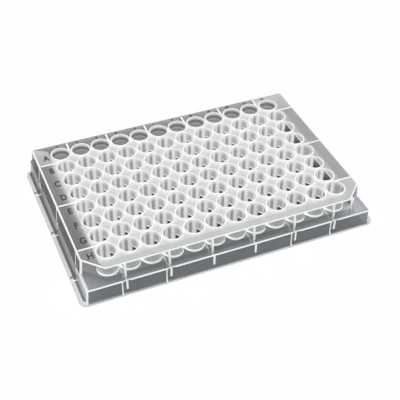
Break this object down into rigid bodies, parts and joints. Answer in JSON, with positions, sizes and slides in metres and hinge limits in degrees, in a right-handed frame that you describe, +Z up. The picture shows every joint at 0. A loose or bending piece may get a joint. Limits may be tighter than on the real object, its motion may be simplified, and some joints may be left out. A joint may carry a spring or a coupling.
{
  "type": "well plate",
  "caption": "Clear well plate in one moulding: a grid of round flat-bottomed wells hangs from a flat deck inside a stepped skirt with a base flange, to hold small liquid samples.",
  "frame": {"origin": "middle of the footprint, on the surface that the plate stands on", "axes": "+X along the rows of wells towards column 12, +Y towards row A, +Z up out of the wells"},
  "size_m": [0.1278, 0.0854, 0.0154],
  "materials": {
    "clear_plastic": "clear, glossy moulded polystyrene"
  },
  "bodies": {
    "root": {"well_plate": "clear_plastic"}
  },
  "joints": []
}
